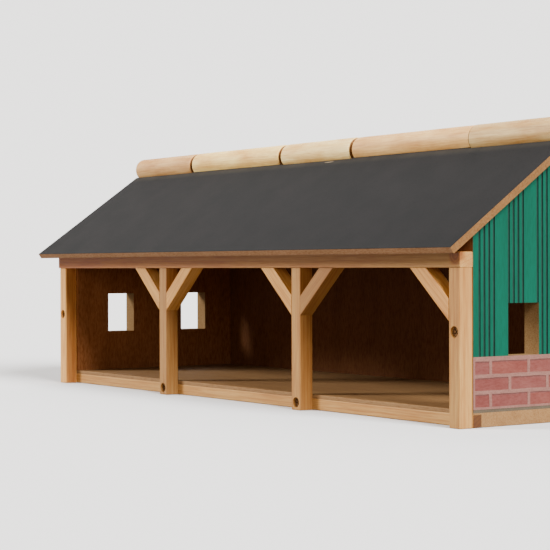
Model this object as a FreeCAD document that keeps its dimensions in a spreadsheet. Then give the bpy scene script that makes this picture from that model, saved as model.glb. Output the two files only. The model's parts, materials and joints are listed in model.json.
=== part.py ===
import FreeCAD, Part
import os
import re
import Sketcher

# Toy farm shed: open front towards -Y, ridge along X over Y = 0, standing on Z = 0.
# Lengths in millimetres, angles in degrees.
sizes = {
    "span": "318",  # over the outer faces of the corner posts
    "depth": "110",  # post fronts to the outer face of the rear wall
    "floor_thick": "6.5",
    "floor_lip": "1.6",  # floor edge over the sill
    "lip_round": "0.5",
    "sill_depth": "4",
    "wall_thick": "8",
    "post_width": "6.5",  # square stock, also the depth of beam and braces
    "post_height": "60",
    "stock_round": "0.7",  # eased arrises of posts, beam and braces
    "mid_bay": "102",  # clear width between the middle posts
    "beam_height": "6",
    "beam_proud": "1.4",  # beam end past the left corner post, flush at the right
    "brace_reach": "22.8",  # along the beam, from the post to the outer edge
    "brace_drop": "20",  # down the post, from the beam to the outer edge
    "brace_width": "6.3",
    "window_setback": "24.6",  # post front to the near jamb
    "window_width": "15.5",
    "window_sill": "26.5",  # above the table
    "window_height": "20",
    "roof_pitch": "35",
    "roof_thick": "3",
    "eave_gap": "4.6",  # roof underside above the beam, at the post fronts
    "eave_reach": "9.6",  # roof edge in front of the posts
    "end_overhang": "5.7",  # roof end past the gables
    "seat_gap": "0.2",  # closed front half above the gable slopes
    "log_dia": "12",
    "end_log": "57",
    "middle_log": "55.7",
    "log_gap": "1.2",  # between neighbouring logs
    "log_round": "1.2",
    "log_clear": "0.4",  # round a log, to roof edges and gable cradles
    "axis_rise": "0.45",  # hinge axis above the roof's top face
    "tongue_stop": "2.5",  # hinge axis to the end of a roof tongue
    "rod_dia": "3",
    "rod_recess": "0.8",  # rod end inside the end log
    "rod_fit": "0.02",  # rod in the fixed logs, radial
    "rod_clear": "0.05",  # rod in the turning logs, radial
    "glue_line": "0.05",  # between glued faces
    "screw_head": "4.3",
    "screw_shank": "2.2",
    "screw_length": "16",
    "screw_angle": "90",
    "screw_clear": "0.05",  # round screws and brads, also past the tip
    "deep_sink": "1.2",  # screw heads below the post fronts
    "flush_sink": "0.3",  # other screw heads below their face
    "post_screw_height": "36",
    "gable_screw_offset": "30",  # floor screws either side of the ridge line
    "rear_screw_offset": "100",  # floor screws either side of the rear wall's middle
    "rear_screw_low": "22",
    "rear_screw_high": "58",
    "brad_head": "2.2",
    "brad_cap": "0.6",
    "brad_shank": "1.2",
    "brad_length": "12",
}
brads_per_gable = 3
along_share = 0.9  # least part of an edge's direction that counts as along an axis
slant_share = 0.1  # least part on both axes that counts as slanted

doc = FreeCAD.newDocument("toy_farm_shed")
sheet = doc.addObject("Spreadsheet::Sheet", "Sizes")
for row, (alias, number) in enumerate(sizes.items(), start=1):
    sheet.set(f"A{row}", alias)
    sheet.set(f"B{row}", number)
    sheet.setAlias(f"B{row}", alias)
doc.recompute()

# Places that several pieces share, as rules on the sheet's names
post_front = "(-depth / 2)"
post_back = "(post_width - depth / 2)"
sill_back = "(post_width + sill_depth - depth / 2)"
sill_top = "(floor_thick - floor_lip)"
rear_face = "(depth / 2)"
rear_inner = "(depth / 2 - wall_thick)"
rear_axis = "(depth / 2 - wall_thick / 2)"
beam_axis = "(post_width / 2 - depth / 2)"
beam_top = "(post_height + beam_height)"
wall_axis = "(span / 2 - wall_thick / 2)"
corner_axis = "(span / 2 - post_width / 2)"
mid_axis = "(mid_bay / 2 + post_width / 2)"
roof_half = "(span / 2 + end_overhang)"
roof_drop = "((axis_rise + roof_thick) / cos(roof_pitch))"
ridge_axis = f"({beam_top} + eave_gap + depth / 2 * tan(roof_pitch) + {roof_drop})"
eave_edge = "((depth / 2 + eave_reach + axis_rise * sin(roof_pitch)) / cos(roof_pitch))"
log_edge = "(log_dia / 2 + log_clear)"
middle_end = "(middle_log / 2 - log_gap / 2)"
hinge_start = "(middle_log / 2 + log_gap / 2)"
hinge_end = f"({roof_half} - end_log - log_gap / 2)"
end_start = f"({roof_half} - end_log + log_gap / 2)"
eased = "min(stock_round; post_width / 4)"
pilot_dia = "(screw_shank + 2 * screw_clear)"
brad_dia = "(brad_shank + 2 * screw_clear)"
cone_depth = "((screw_head - screw_shank) / 2 / tan(screw_angle / 2))"

origin = ("0", "0", "0")
half_turn = "180"
along_x = FreeCAD.Vector(1, 0, 0)
along_z = FreeCAD.Vector(0, 0, 1)
signs = {"left": "-", "right": "+"}
roof_sides = {"front": ("-", "roof_pitch"), "rear": ("+", "-roof_pitch")}
mid_places = [(f"0 {sign} {mid_axis}", "floor_thick / 2") for sign in signs.values()]
sub_parts = []


def ref(rule):
    return re.sub(r"\b(" + "|".join(sizes) + r")\b", r"Sizes.\1", rule)


def value(rule):
    return float(sheet.evalExpression(ref(rule)))


def bind(item, path, rule):
    item.setExpression(path, ref(rule))


# Height under the roof at a run from the ridge line, less a gap square to the slope
def under_roof(run, gap):
    return f"({ridge_axis} - {roof_drop} - {run} * tan(roof_pitch) - {gap} / cos(roof_pitch))"


# Depth of a screw's hole past the pieces that it goes through
def pilot_depth(sink, passed):
    return f"({sink} + screw_length + screw_clear - {passed})"


# Place of a brad down the slope from the hinge axis, in even steps to the rear wall
def brad_run(number):
    return f"({rear_inner} / cos(roof_pitch) * {number + 1} / {brads_per_gable + 1})"


# Body at a place, turned about X
def new_body(name, place=origin, turn="0"):
    body = doc.addObject("PartDesign::Body", name)
    body.Label = name
    if turn != "0":
        body.Placement = FreeCAD.Placement(FreeCAD.Vector(), FreeCAD.Rotation(along_x, value(turn)))
        bind(body, "Placement.Rotation.Angle", turn)
    for axis, rule in zip("xyz", place):
        bind(body, f"Placement.Base.{axis}", rule)
    sub_parts.append(body)
    return body


def origin_plane(body, role):
    return next(item for item in body.Origin.OriginFeatures if item.Role == role)


# Sketch on an origin plane of its body, moved by an offset and turned about its X axis
def new_sketch(body, name, role, offset=origin, turn="0"):
    sketch = body.newObject("Sketcher::SketchObject", name)
    sketch.AttachmentSupport = [(origin_plane(body, role), "")]
    sketch.MapMode = "FlatFace"
    if turn != "0":
        rotation = FreeCAD.Rotation(along_x, value(turn))
        sketch.AttachmentOffset = FreeCAD.Placement(FreeCAD.Vector(), rotation)
        bind(sketch, "AttachmentOffset.Rotation.Angle", turn)
    for axis, rule in zip("xyz", offset):
        bind(sketch, f"AttachmentOffset.Base.{axis}", rule)
    return sketch


def place_point(sketch, shape, end, x_rule, y_rule):
    for kind, rule in (("DistanceX", x_rule), ("DistanceY", y_rule)):
        index = sketch.addConstraint(Sketcher.Constraint(kind, -1, 1, shape, end, value(rule)))
        bind(sketch, f"Constraints[{index}]", rule)


# Closed outline through points given as pairs of rules
def outline(sketch, points):
    spots = [FreeCAD.Vector(value(x_rule), value(y_rule), 0) for x_rule, y_rule in points]
    lines = []
    for spot, following in zip(spots, spots[1:] + spots[:1]):
        lines.append(sketch.addGeometry(Part.LineSegment(spot, following)))
    for line, following in zip(lines, lines[1:] + lines[:1]):
        sketch.addConstraint(Sketcher.Constraint("Coincident", line, 2, following, 1))
    for line, (x_rule, y_rule) in zip(lines, points):
        place_point(sketch, line, 1, x_rule, y_rule)


def rectangle(sketch, x_low, x_high, y_low, y_high):
    outline(sketch, [(x_low, y_low), (x_high, y_low), (x_high, y_high), (x_low, y_high)])


def circle(sketch, x_rule, y_rule, radius):
    centre = FreeCAD.Vector(value(x_rule), value(y_rule), 0)
    ring = sketch.addGeometry(Part.Circle(centre, along_z, value(radius)))
    place_point(sketch, ring, 3, x_rule, y_rule)
    index = sketch.addConstraint(Sketcher.Constraint("Radius", ring, value(radius)))
    bind(sketch, f"Constraints[{index}]", radius)


# Pad along the sketch's normal, or half to each side
def pad(body, name, sketch, length, centred=False):
    feature = body.newObject("PartDesign::Pad", name)
    feature.Profile = sketch
    feature.Midplane = centred
    bind(feature, "Length", length)
    doc.recompute()
    return feature


# Pocket against the sketch's normal or along it, and right through both ways if it has no length
def pocket(body, name, sketch, length=None, along=False):
    before = body.Shape.Volume
    feature = body.newObject("PartDesign::Pocket", name)
    feature.Profile = sketch
    feature.Reversed = along
    if length is None:
        feature.Type = "ThroughAll"
        feature.Midplane = True
    else:
        bind(feature, "Length", length)
    doc.recompute()
    if not body.Shape.Volume < before:
        raise ValueError(f"{name} cuts nothing")


# Rounding of the feature's edges that pass a test
def fillet(body, name, feature, test, radius):
    edges = [f"Edge{number}" for number, edge in enumerate(feature.Shape.Edges, start=1) if test(edge)]
    rounding = body.newObject("PartDesign::Fillet", name)
    rounding.Base = (feature, edges)
    bind(rounding, "Radius", radius)
    doc.recompute()


def runs_along(axis):
    return lambda edge: abs(getattr(edge.Curve.Direction, axis)) > along_share


def runs_slanted(edge):
    direction = edge.Curve.Direction
    return min(abs(direction.x), abs(direction.z)) > slant_share


def runs_round(edge):
    return edge.Curve.TypeId == "Part::GeomCircle"


# Through holes with a sunk seat for a head, at places in the sketch
def sunk_holes(body, name, role, offset, places, seat, turn="0"):
    sketch = new_sketch(body, f"{name}_places", role, offset, turn)
    for x_rule, y_rule in places:
        circle(sketch, x_rule, y_rule, f"{seat['Diameter']} / 2")
    doc.recompute()
    before = body.Shape.Volume
    hole = body.newObject("PartDesign::Hole", name)
    hole.Profile = sketch
    hole.DepthType = "ThroughAll"
    hole.HoleCutType = seat["HoleCutType"]
    hole.HoleCutCustomValues = True
    for path in seat.keys() - {"HoleCutType"}:
        bind(hole, path, seat[path])
    doc.recompute()
    if not body.Shape.Volume < before:
        raise ValueError(f"{name} cuts nothing")


# Seat of a countersunk screw whose head lies below the face
def screw_seat(sink):
    return {
        "HoleCutType": "Counterdrill",
        "Diameter": pilot_dia,
        "HoleCutDiameter": "screw_head + 2 * screw_clear",
        "HoleCutDepth": sink,
        "HoleCutCountersinkAngle": "screw_angle",
    }


brad_seat = {
    "HoleCutType": "Counterbore",
    "Diameter": brad_dia,
    "HoleCutDiameter": "brad_head + 2 * screw_clear",
    "HoleCutDepth": "brad_cap + screw_clear",
}


# Round holes of one diameter, right through or to a depth
def pilot_holes(body, name, role, offset, places, length=None, along=False, turn="0", diameter=pilot_dia):
    sketch = new_sketch(body, f"{name}_places", role, offset, turn)
    for x_rule, y_rule in places:
        circle(sketch, x_rule, y_rule, f"{diameter} / 2")
    pocket(body, name, sketch, length, along)


# Solid of revolution about the sketch's upright axis
def turned(body, name, role, offset, profile):
    sketch = new_sketch(body, f"{name}_profile", role, offset)
    outline(sketch, profile)
    feature = body.newObject("PartDesign::Revolution", name)
    feature.Profile = sketch
    feature.ReferenceAxis = (sketch, ["V_Axis"])
    doc.recompute()
    return feature


# Countersunk screw, head at the sketch's origin, pointing along its Y axis or against it
def screw(body, name, role, offset, way):
    return turned(body, name, role, offset, [
        ("0", "0"),
        ("screw_head / 2", "0"),
        ("screw_shank / 2", f"0 {way} {cone_depth}"),
        ("screw_shank / 2", f"0 {way} (screw_length - screw_shank / 2)"),
        ("0", f"0 {way} screw_length"),
    ])


# Copies on the other side of the shed's middle
def mirror(body, features):
    copies = body.newObject("PartDesign::Mirrored", f"{body.Name}_copies")
    copies.Originals = features
    copies.MirrorPlane = (origin_plane(body, "YZ_Plane"), [""])
    body.Tip = copies
    doc.recompute()


# Floor board with a lip over the sill, drilled for the walls and the middle posts
def make_floor():
    body = new_body("floor_board")
    sketch = new_sketch(body, "floor_section", "YZ_Plane")
    outline(sketch, [
        (sill_back, "0"),
        (rear_face, "0"),
        (rear_face, "floor_thick"),
        (post_back, "floor_thick"),
        (post_back, sill_top),
        (sill_back, sill_top),
    ])
    slab = pad(body, "floor_slab", sketch, "span", centred=True)
    lip_middle = value(f"({post_back} + {sill_back}) / 2")
    lip_height = value(f"{sill_top} + floor_lip / 2")

    def lip_edge(edge):
        spot = edge.CenterOfMass
        return runs_along("x")(edge) and spot.y < lip_middle and spot.z > lip_height

    fillet(body, "lip_rounding", slab, lip_edge, "min(lip_round; floor_lip / 3)")
    places = [("0", f"-{rear_axis}")]
    for sign in signs.values():
        places.append((f"0 {sign} rear_screw_offset", f"-{rear_axis}"))
        places.append((f"0 {sign} {wall_axis}", "gable_screw_offset"))
        places.append((f"0 {sign} {wall_axis}", "-gable_screw_offset"))
    sunk_holes(body, "floor_screw_holes", "XY_Plane", origin, places, screw_seat("flush_sink"), half_turn)
    front_edge = ("0", "0", f"-{sill_back}")
    length = pilot_depth("deep_sink", "(post_width + sill_depth)")
    pilot_holes(body, "floor_pilots", "XZ_Plane", front_edge, mid_places, length)


# Sill strip under the lip of the floor board
def make_sill():
    body = new_body("front_sill")
    sketch = new_sketch(body, "sill_section", "YZ_Plane")
    rectangle(sketch, post_back, sill_back, "0", sill_top)
    pad(body, "sill_strip", sketch, "span", centred=True)
    pilot_holes(body, "sill_holes", "XZ_Plane", ("0", "0", f"-{post_back}"), mid_places)


# Gable wall: cradle for the end log, two windows, holes for the screws and brads that reach it
def make_gable(side, sign):
    body = new_body(f"{side}_gable_wall", (f"0 {sign} {wall_axis}", "0", "0"))
    sketch = new_sketch(body, f"{side}_gable_outline", "YZ_Plane")
    outline(sketch, [
        (post_back, "floor_thick"),
        (rear_inner, "floor_thick"),
        (rear_inner, under_roof(rear_inner, "glue_line")),
        ("(seat_gap - glue_line) / 2 / sin(roof_pitch)", under_roof("0", "(seat_gap + glue_line) / 2")),
        (post_back, under_roof(f"(-{post_back})", "seat_gap")),
    ])
    pad(body, f"{side}_gable_board", sketch, "wall_thick", centred=True)
    sketch = new_sketch(body, f"{side}_cradle_circle", "YZ_Plane")
    circle(sketch, "0", ridge_axis, log_edge)
    pocket(body, f"{side}_cradle", sketch)
    near, far = "(window_setback - depth / 2)", "(window_setback + window_width - depth / 2)"
    sketch = new_sketch(body, f"{side}_window_openings", "YZ_Plane")
    rectangle(sketch, near, far, "window_sill", "window_sill + window_height")
    rectangle(sketch, f"-{far}", f"-{near}", "window_sill", "window_sill + window_height")
    pocket(body, f"{side}_windows", sketch)

    front, back = ("0", "0", f"-{post_back}"), ("0", "0", f"-{rear_inner}")
    bottom, ridge = ("0", "0", "floor_thick"), ("0", "0", ridge_axis)
    places = [(f"0 {sign} ({corner_axis} - {wall_axis})", "post_screw_height")]
    length = pilot_depth("deep_sink", "post_width")
    pilot_holes(body, f"{side}_front_pilot", "XZ_Plane", front, places, length)
    places = [("0", "gable_screw_offset"), ("0", "-gable_screw_offset")]
    length = pilot_depth("flush_sink", "floor_thick")
    pilot_holes(body, f"{side}_floor_pilots", "XY_Plane", bottom, places, length, along=True)
    places = [("0", "rear_screw_low"), ("0", "rear_screw_high")]
    length = pilot_depth("flush_sink", "wall_thick")
    pilot_holes(body, f"{side}_rear_pilots", "XZ_Plane", back, places, length, along=True)
    places = [("0", brad_run(number)) for number in range(brads_per_gable)]
    length = "axis_rise + brad_length + screw_clear"
    slope = roof_sides["rear"][1]
    name = f"{side}_brad_pilots"
    pilot_holes(body, name, "XY_Plane", ridge, places, length, turn=slope, diameter=brad_dia)


# Rear wall, its top edge cut to the roof's slope
def make_rear_wall():
    body = new_body("rear_wall")
    sketch = new_sketch(body, "rear_section", "YZ_Plane")
    outline(sketch, [
        (rear_inner, "floor_thick"),
        (rear_face, "floor_thick"),
        (rear_face, under_roof(rear_face, "glue_line")),
        (rear_inner, under_roof(rear_inner, "glue_line")),
    ])
    pad(body, "rear_board", sketch, "span", centred=True)
    floor_places = [("0", rear_axis)]
    gable_places = []
    for sign in signs.values():
        floor_places.append((f"0 {sign} rear_screw_offset", rear_axis))
        gable_places.append((f"0 {sign} {wall_axis}", "-rear_screw_low"))
        gable_places.append((f"0 {sign} {wall_axis}", "-rear_screw_high"))
    bottom, back = ("0", "0", "floor_thick"), ("0", "0", f"-{rear_face}")
    length = pilot_depth("flush_sink", "floor_thick")
    pilot_holes(body, "rear_floor_pilots", "XY_Plane", bottom, floor_places, length, along=True)
    seat = screw_seat("flush_sink")
    sunk_holes(body, "rear_screw_holes", "XZ_Plane", back, gable_places, seat, half_turn)


# Post with eased arrises, screwed through from the front and down from the beam
def make_post(name, place, screw_height):
    body = new_body(name, (place, beam_axis, "0"))
    half = "(post_width / 2)"
    sketch = new_sketch(body, f"{name}_section", "XY_Plane")
    rectangle(sketch, f"-{half}", half, f"-{half}", half)
    stock = pad(body, f"{name}_stock", sketch, "post_height")
    fillet(body, f"{name}_arrises", stock, runs_along("z"), eased)
    front, top = ("0", "0", half), ("0", "0", "post_height")
    seat = screw_seat("deep_sink")
    sunk_holes(body, f"{name}_screw_hole", "XZ_Plane", front, [("0", screw_height)], seat)
    length = pilot_depth("flush_sink", "beam_height")
    pilot_holes(body, f"{name}_top_pilot", "XY_Plane", top, [("0", "0")], length)


# Eave beam over the four posts
def make_beam():
    body = new_body("eave_beam")
    sketch = new_sketch(body, "beam_section", "YZ_Plane", ("0", "0", "-(span / 2 + beam_proud)"))
    rectangle(sketch, post_front, post_back, "post_height", beam_top)
    stock = pad(body, "beam_stock", sketch, "span + beam_proud")
    fillet(body, "beam_arrises", stock, runs_along("x"), eased)
    places = []
    for sign in signs.values():
        places += [(f"0 {sign} {axis}", beam_axis) for axis in (corner_axis, mid_axis)]
    top, seat = ("0", "0", beam_top), screw_seat("flush_sink")
    sunk_holes(body, "beam_screw_holes", "XY_Plane", top, places, seat)


# Knee brace between a post and the beam, on one side of the post
def make_brace(name, post_place, sign):
    body = new_body(name, (f"{post_place} {sign} post_width / 2", beam_axis, "post_height"))
    length = "hypot(brace_reach; brace_drop)"
    sketch = new_sketch(body, f"{name}_outline", "XZ_Plane")
    outline(sketch, [
        ("0", "-brace_drop"),
        (f"0 {sign} brace_reach", "0"),
        (f"0 {sign} (brace_reach - brace_width * {length} / brace_drop)", "0"),
        ("0", f"brace_width * {length} / brace_reach - brace_drop"),
    ])
    stock = pad(body, f"{name}_stock", sketch, "post_width", centred=True)
    fillet(body, f"{name}_arrises", stock, runs_slanted, eased)


# Roof half in the slope's own frame, with tongues into its logs at the upper edge
def make_roof_panel(side, tongue_edge):
    sign, turn = roof_sides[side]
    body = new_body(f"{side}_roof_panel", ("0", "0", ridge_axis), turn)
    reach = {"eave": eave_edge, "edge": log_edge, "stop": "tongue_stop"}
    points = [(x_rule, f"0 {sign} {reach[level]}") for x_rule, level in tongue_edge]
    sketch = new_sketch(body, f"{side}_roof_outline", "XY_Plane", ("0", "0", "-(axis_rise + roof_thick)"))
    outline(sketch, points)
    pad(body, f"{side}_roof_board", sketch, "roof_thick")
    return body


# Front half, with a tongue for each hinge log
def make_front_roof():
    inner, outer = hinge_start, hinge_end
    make_roof_panel("front", [
        (f"-{roof_half}", "eave"), (roof_half, "eave"), (roof_half, "edge"),
        (outer, "edge"), (outer, "stop"), (inner, "stop"), (inner, "edge"),
        (f"-{inner}", "edge"), (f"-{inner}", "stop"), (f"-{outer}", "stop"), (f"-{outer}", "edge"),
        (f"-{roof_half}", "edge"),
    ])


# Rear half, with tongues for the two end logs and the middle log, pinned to the gables
def make_rear_roof():
    inner, outer = middle_end, end_start
    body = make_roof_panel("rear", [
        (f"-{roof_half}", "eave"), (roof_half, "eave"), (roof_half, "stop"),
        (outer, "stop"), (outer, "edge"), (inner, "edge"), (inner, "stop"),
        (f"-{inner}", "stop"), (f"-{inner}", "edge"), (f"-{outer}", "edge"), (f"-{outer}", "stop"),
        (f"-{roof_half}", "stop"),
    ])
    places = []
    for sign in signs.values():
        places += [(f"0 {sign} {wall_axis}", brad_run(number)) for number in range(brads_per_gable)]
    sunk_holes(body, "roof_brad_holes", "XY_Plane", ("0", "0", "-axis_rise"), places, brad_seat)


# Round log with eased ends, bored for the rod and grooved for a roof tongue
def make_log(name, low, high, side, clearance):
    sign, turn = roof_sides[side]
    body = new_body(name, (low, "0", ridge_axis), turn)
    sketch = new_sketch(body, f"{name}_section", "YZ_Plane")
    circle(sketch, "0", "0", "log_dia / 2")
    stock = pad(body, f"{name}_stock", sketch, f"{high} - {low}")
    fillet(body, f"{name}_ends", stock, runs_round, "min(log_round; log_dia / 8)")
    sketch = new_sketch(body, f"{name}_cuts", "YZ_Plane")
    circle(sketch, "0", "0", f"rod_dia / 2 + {clearance}")
    lowest, highest = "-(axis_rise + roof_thick + glue_line)", "-(axis_rise - glue_line)"
    rectangle(sketch, f"0 {sign} (tongue_stop - glue_line)", f"0 {sign} {log_edge}", lowest, highest)
    pocket(body, f"{name}_bore_and_groove", sketch)


# Steel rod through the logs, its ends inside the end logs
def make_rod():
    rod = doc.addObject("Part::Cylinder", "hinge_rod")
    rod.Label = "hinge_rod"
    rod.Placement = FreeCAD.Placement(FreeCAD.Vector(), FreeCAD.Rotation(along_z, along_x))
    bind(rod, "Radius", "rod_dia / 2")
    bind(rod, "Height", f"2 * ({roof_half} - rod_recess)")
    bind(rod, "Placement.Base.x", f"rod_recess - {roof_half}")
    bind(rod, "Placement.Base.z", ridge_axis)
    sub_parts.append(rod)


# Screws from the post fronts into the gables and the floor
def make_post_screws():
    body = new_body("post_screws")
    corner = (corner_axis, f"{post_front} + deep_sink", "post_screw_height")
    middle = (mid_axis, f"{post_front} + deep_sink", "floor_thick / 2")
    mirror(body, [
        screw(body, "corner_post_screw", "XY_Plane", corner, "+"),
        screw(body, "mid_post_screw", "XY_Plane", middle, "+"),
    ])


# Screws from the beam down into the posts
def make_beam_screws():
    body = new_body("beam_screws")
    head = f"{beam_top} - flush_sink"
    mirror(body, [
        screw(body, "corner_beam_screw", "XZ_Plane", (corner_axis, head, f"-{beam_axis}"), "-"),
        screw(body, "mid_beam_screw", "XZ_Plane", (mid_axis, head, f"-{beam_axis}"), "-"),
    ])


# Screws from under the floor into the gables and the rear wall
def make_floor_screws():
    body = new_body("floor_screws")
    rear_place = ("rear_screw_offset", "flush_sink", f"-{rear_axis}")
    near_place = (wall_axis, "flush_sink", "gable_screw_offset")
    far_place = (wall_axis, "flush_sink", "-gable_screw_offset")
    screw(body, "middle_floor_screw", "XZ_Plane", ("0", "flush_sink", f"-{rear_axis}"), "+")
    mirror(body, [
        screw(body, "rear_floor_screw", "XZ_Plane", rear_place, "+"),
        screw(body, "gable_front_screw", "XZ_Plane", near_place, "+"),
        screw(body, "gable_back_screw", "XZ_Plane", far_place, "+"),
    ])


# Screws through the rear wall into the gables
def make_rear_screws():
    body = new_body("rear_screws")
    head = f"{rear_face} - flush_sink"
    mirror(body, [
        screw(body, "low_rear_screw", "XY_Plane", (wall_axis, head, "rear_screw_low"), "-"),
        screw(body, "high_rear_screw", "XY_Plane", (wall_axis, head, "rear_screw_high"), "-"),
    ])


# Flat-headed brads, square to the rear slope
def make_roof_brads():
    body = new_body("roof_brads", ("0", "0", ridge_axis), roof_sides["rear"][1])
    profile = [
        ("0", "0"),
        ("brad_head / 2", "0"),
        ("brad_head / 2", "-brad_cap"),
        ("brad_shank / 2", "-brad_cap"),
        ("brad_shank / 2", "-(brad_length - brad_shank / 2)"),
        ("0", "-brad_length"),
    ]
    brads = []
    for number in range(brads_per_gable):
        place = (wall_axis, "-axis_rise", f"-{brad_run(number)}")
        brads.append(turned(body, f"brad_{number + 1}", "XZ_Plane", place, profile))
    mirror(body, brads)


make_floor()
make_sill()
make_rear_wall()
make_beam()
for side, sign in signs.items():
    make_gable(side, sign)
    make_post(f"{side}_corner_post", f"0 {sign} {corner_axis}", "post_screw_height")
    make_post(f"{side}_mid_post", f"0 {sign} {mid_axis}", "floor_thick / 2")
    for lean, lean_sign in signs.items():
        make_brace(f"{side}_mid_brace_{lean}", f"0 {sign} {mid_axis}", lean_sign)
make_brace("right_corner_brace", corner_axis, "-")
make_front_roof()
make_rear_roof()
make_log("left_end_log", f"(-{roof_half})", f"(-{end_start})", "rear", "rod_fit")
make_log("left_hinge_log", f"(-{hinge_end})", f"(-{hinge_start})", "front", "rod_clear")
make_log("middle_log", f"(-{middle_end})", middle_end, "rear", "rod_fit")
make_log("right_hinge_log", hinge_start, hinge_end, "front", "rod_clear")
make_log("right_end_log", end_start, roof_half, "rear", "rod_fit")
make_rod()
make_post_screws()
make_beam_screws()
make_floor_screws()
make_rear_screws()
make_roof_brads()

doc.recompute()
faults = [item.Name for item in doc.Objects if {"Invalid", "Error"} & set(item.State)]
faults += [item.Label for item in sub_parts if item.Shape.isNull() or not item.Shape.isValid()]
if faults:
    raise RuntimeError("failed: " + ", ".join(faults))
os.makedirs("parts", exist_ok=True)
for item in sub_parts:
    item.Shape.exportStep(f"parts/{item.Label}.step")
    print(f"{item.Label}: {len(item.Shape.Solids)} solid(s), {item.Shape.Volume:.1f} mm3")
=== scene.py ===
import json
import math
import random

import bmesh
import bpy
from mathutils import Euler, Matrix, Vector, noise


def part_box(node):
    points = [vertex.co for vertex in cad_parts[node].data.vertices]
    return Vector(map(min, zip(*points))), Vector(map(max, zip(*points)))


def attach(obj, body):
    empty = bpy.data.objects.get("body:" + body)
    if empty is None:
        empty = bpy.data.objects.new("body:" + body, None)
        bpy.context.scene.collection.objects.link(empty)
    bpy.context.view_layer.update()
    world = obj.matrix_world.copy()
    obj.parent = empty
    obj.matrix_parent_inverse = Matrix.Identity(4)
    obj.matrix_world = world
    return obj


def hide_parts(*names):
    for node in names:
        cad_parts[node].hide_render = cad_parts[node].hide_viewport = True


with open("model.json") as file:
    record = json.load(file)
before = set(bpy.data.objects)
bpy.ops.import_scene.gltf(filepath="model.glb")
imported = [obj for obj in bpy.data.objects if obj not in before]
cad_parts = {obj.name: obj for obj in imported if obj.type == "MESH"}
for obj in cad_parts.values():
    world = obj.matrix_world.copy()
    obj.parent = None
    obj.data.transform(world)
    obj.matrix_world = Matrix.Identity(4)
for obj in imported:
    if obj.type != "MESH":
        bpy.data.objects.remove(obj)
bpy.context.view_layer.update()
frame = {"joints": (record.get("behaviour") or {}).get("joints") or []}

mm = 0.001  # lengths below are in millimetres
dice = random.Random(11)
facing = 0.9  # cosine from which a face or an edge counts as square on
leaning = 0.3  # cosine from which a face counts as leaning that way
touch = 0.01  # millimetres within which places count as one
overrun = 1  # millimetres that cutters reach past a piece

shed = {
    "front": -55.0,  # fronts of the posts
    "pitch": math.radians(35),
    "ridge": frame["joints"][0]["pos_m"][2] / mm,  # height of the hinge axis
    "axisRise": 0.45,  # hinge axis above the top of the roof
    "roofThick": 3.0,
    "logEdge": 6.4,  # hinge axis to the roof's upper edge
    "tongueStop": 2.5,
    "eaveEdge": 79.18,  # hinge axis to the eave, down the slope
    "floorTop": 6.5,
    "brickTop": 26.5,
    "seats": {"front": 0.2, "rear": 0.05},  # gaps under the two roof halves
}
sideways = {"left": -1, "right": 1}
halves = {"front": -1, "rear": 1}
screwPlaces = {
    "posts": (-155.75, -54.25, 54.25, 155.75), "postHeights": {"corner": 36.0, "mid": 3.25},
    "gable": 155.0, "rearHeights": (22, 58), "bradRuns": (14.34, 28.69, 43.03),
    "floor": [(0, 51), (100, 51), (-100, 51), (155, 30), (155, -30), (-155, 30), (-155, -30)],
}


# Modelling aids

def deselect():
    bpy.ops.object.select_all(action="DESELECT")


def activate(piece):
    deselect()
    piece.select_set(True)
    bpy.context.view_layer.objects.active = piece


def settle(name):  # the new piece's place, turn and size go into its mesh
    piece = bpy.context.active_object
    piece.name = name
    bpy.ops.object.transform_apply(location=True, rotation=True, scale=True)
    return piece


def place(piece, turn, spot):
    activate(piece)
    piece.rotation_euler = turn
    piece.location = Vector(spot) * mm
    bpy.ops.object.transform_apply(location=True, rotation=True, scale=True)
    return piece


def nodeBox(node):
    low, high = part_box(node)
    return low / mm, high / mm


def addBlock(name, low, high):
    deselect()
    middle = [(a + b) / 2 * mm for a, b in zip(low, high)]
    size = [(b - a) * mm for a, b in zip(low, high)]
    bpy.ops.mesh.primitive_cube_add(size=1, location=middle, scale=size)
    return settle(name)


def editOn(piece):
    activate(piece)
    bpy.ops.object.mode_set(mode="EDIT")


def editOff():
    bpy.ops.object.mode_set(mode="OBJECT")


def pickFaces(piece, test):  # test gets a face's middle and normal
    bpy.ops.mesh.select_mode(type="FACE")
    bpy.ops.mesh.select_all(action="DESELECT")
    net = bmesh.from_edit_mesh(piece.data)
    net.normal_update()
    for face in net.faces:
        if test(face.calc_center_median() / mm, face.normal):
            face.select_set(True)
    bmesh.update_edit_mesh(piece.data)


def pickEdges(piece, test):  # test gets an edge's middle and direction
    bpy.ops.mesh.select_mode(type="EDGE")
    bpy.ops.mesh.select_all(action="DESELECT")
    net = bmesh.from_edit_mesh(piece.data)
    for edge in net.edges:
        start, end = (corner.co / mm for corner in edge.verts)
        if test((start + end) / 2, (end - start).normalized()):
            edge.select_set(True)
    bmesh.update_edit_mesh(piece.data)


def sliceAt(spot, normal, **options):
    bpy.ops.mesh.bisect(plane_co=Vector(spot) * mm, plane_no=normal, threshold=1e-7, **options)


def trimAt(spot, normal):  # cuts off what is past the plane and closes the cut
    bpy.ops.mesh.select_all(action="SELECT")
    sliceAt(spot, normal, use_fill=True, clear_outer=True)


def roundOff(width, segments):
    bpy.ops.mesh.bevel(offset=width * mm, segments=segments, affect="EDGES")


def cutAway(piece, cutter):
    activate(piece)
    tool = piece.modifiers.new("cut", "BOOLEAN")
    tool.object = cutter
    tool.operation = "DIFFERENCE"
    tool.solver = "EXACT"
    bpy.ops.object.modifier_apply(modifier=tool.name)
    bpy.data.objects.remove(cutter, do_unlink=True)


def copyOf(piece, name):
    twin = piece.copy()
    twin.data = piece.data.copy()
    twin.name = name
    bpy.context.scene.collection.objects.link(twin)
    return twin


def joinAll(pieces, name):
    activate(pieces[0])
    for piece in pieces:
        piece.select_set(True)
    bpy.ops.object.join()
    pieces[0].name = name
    return pieces[0]


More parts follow.
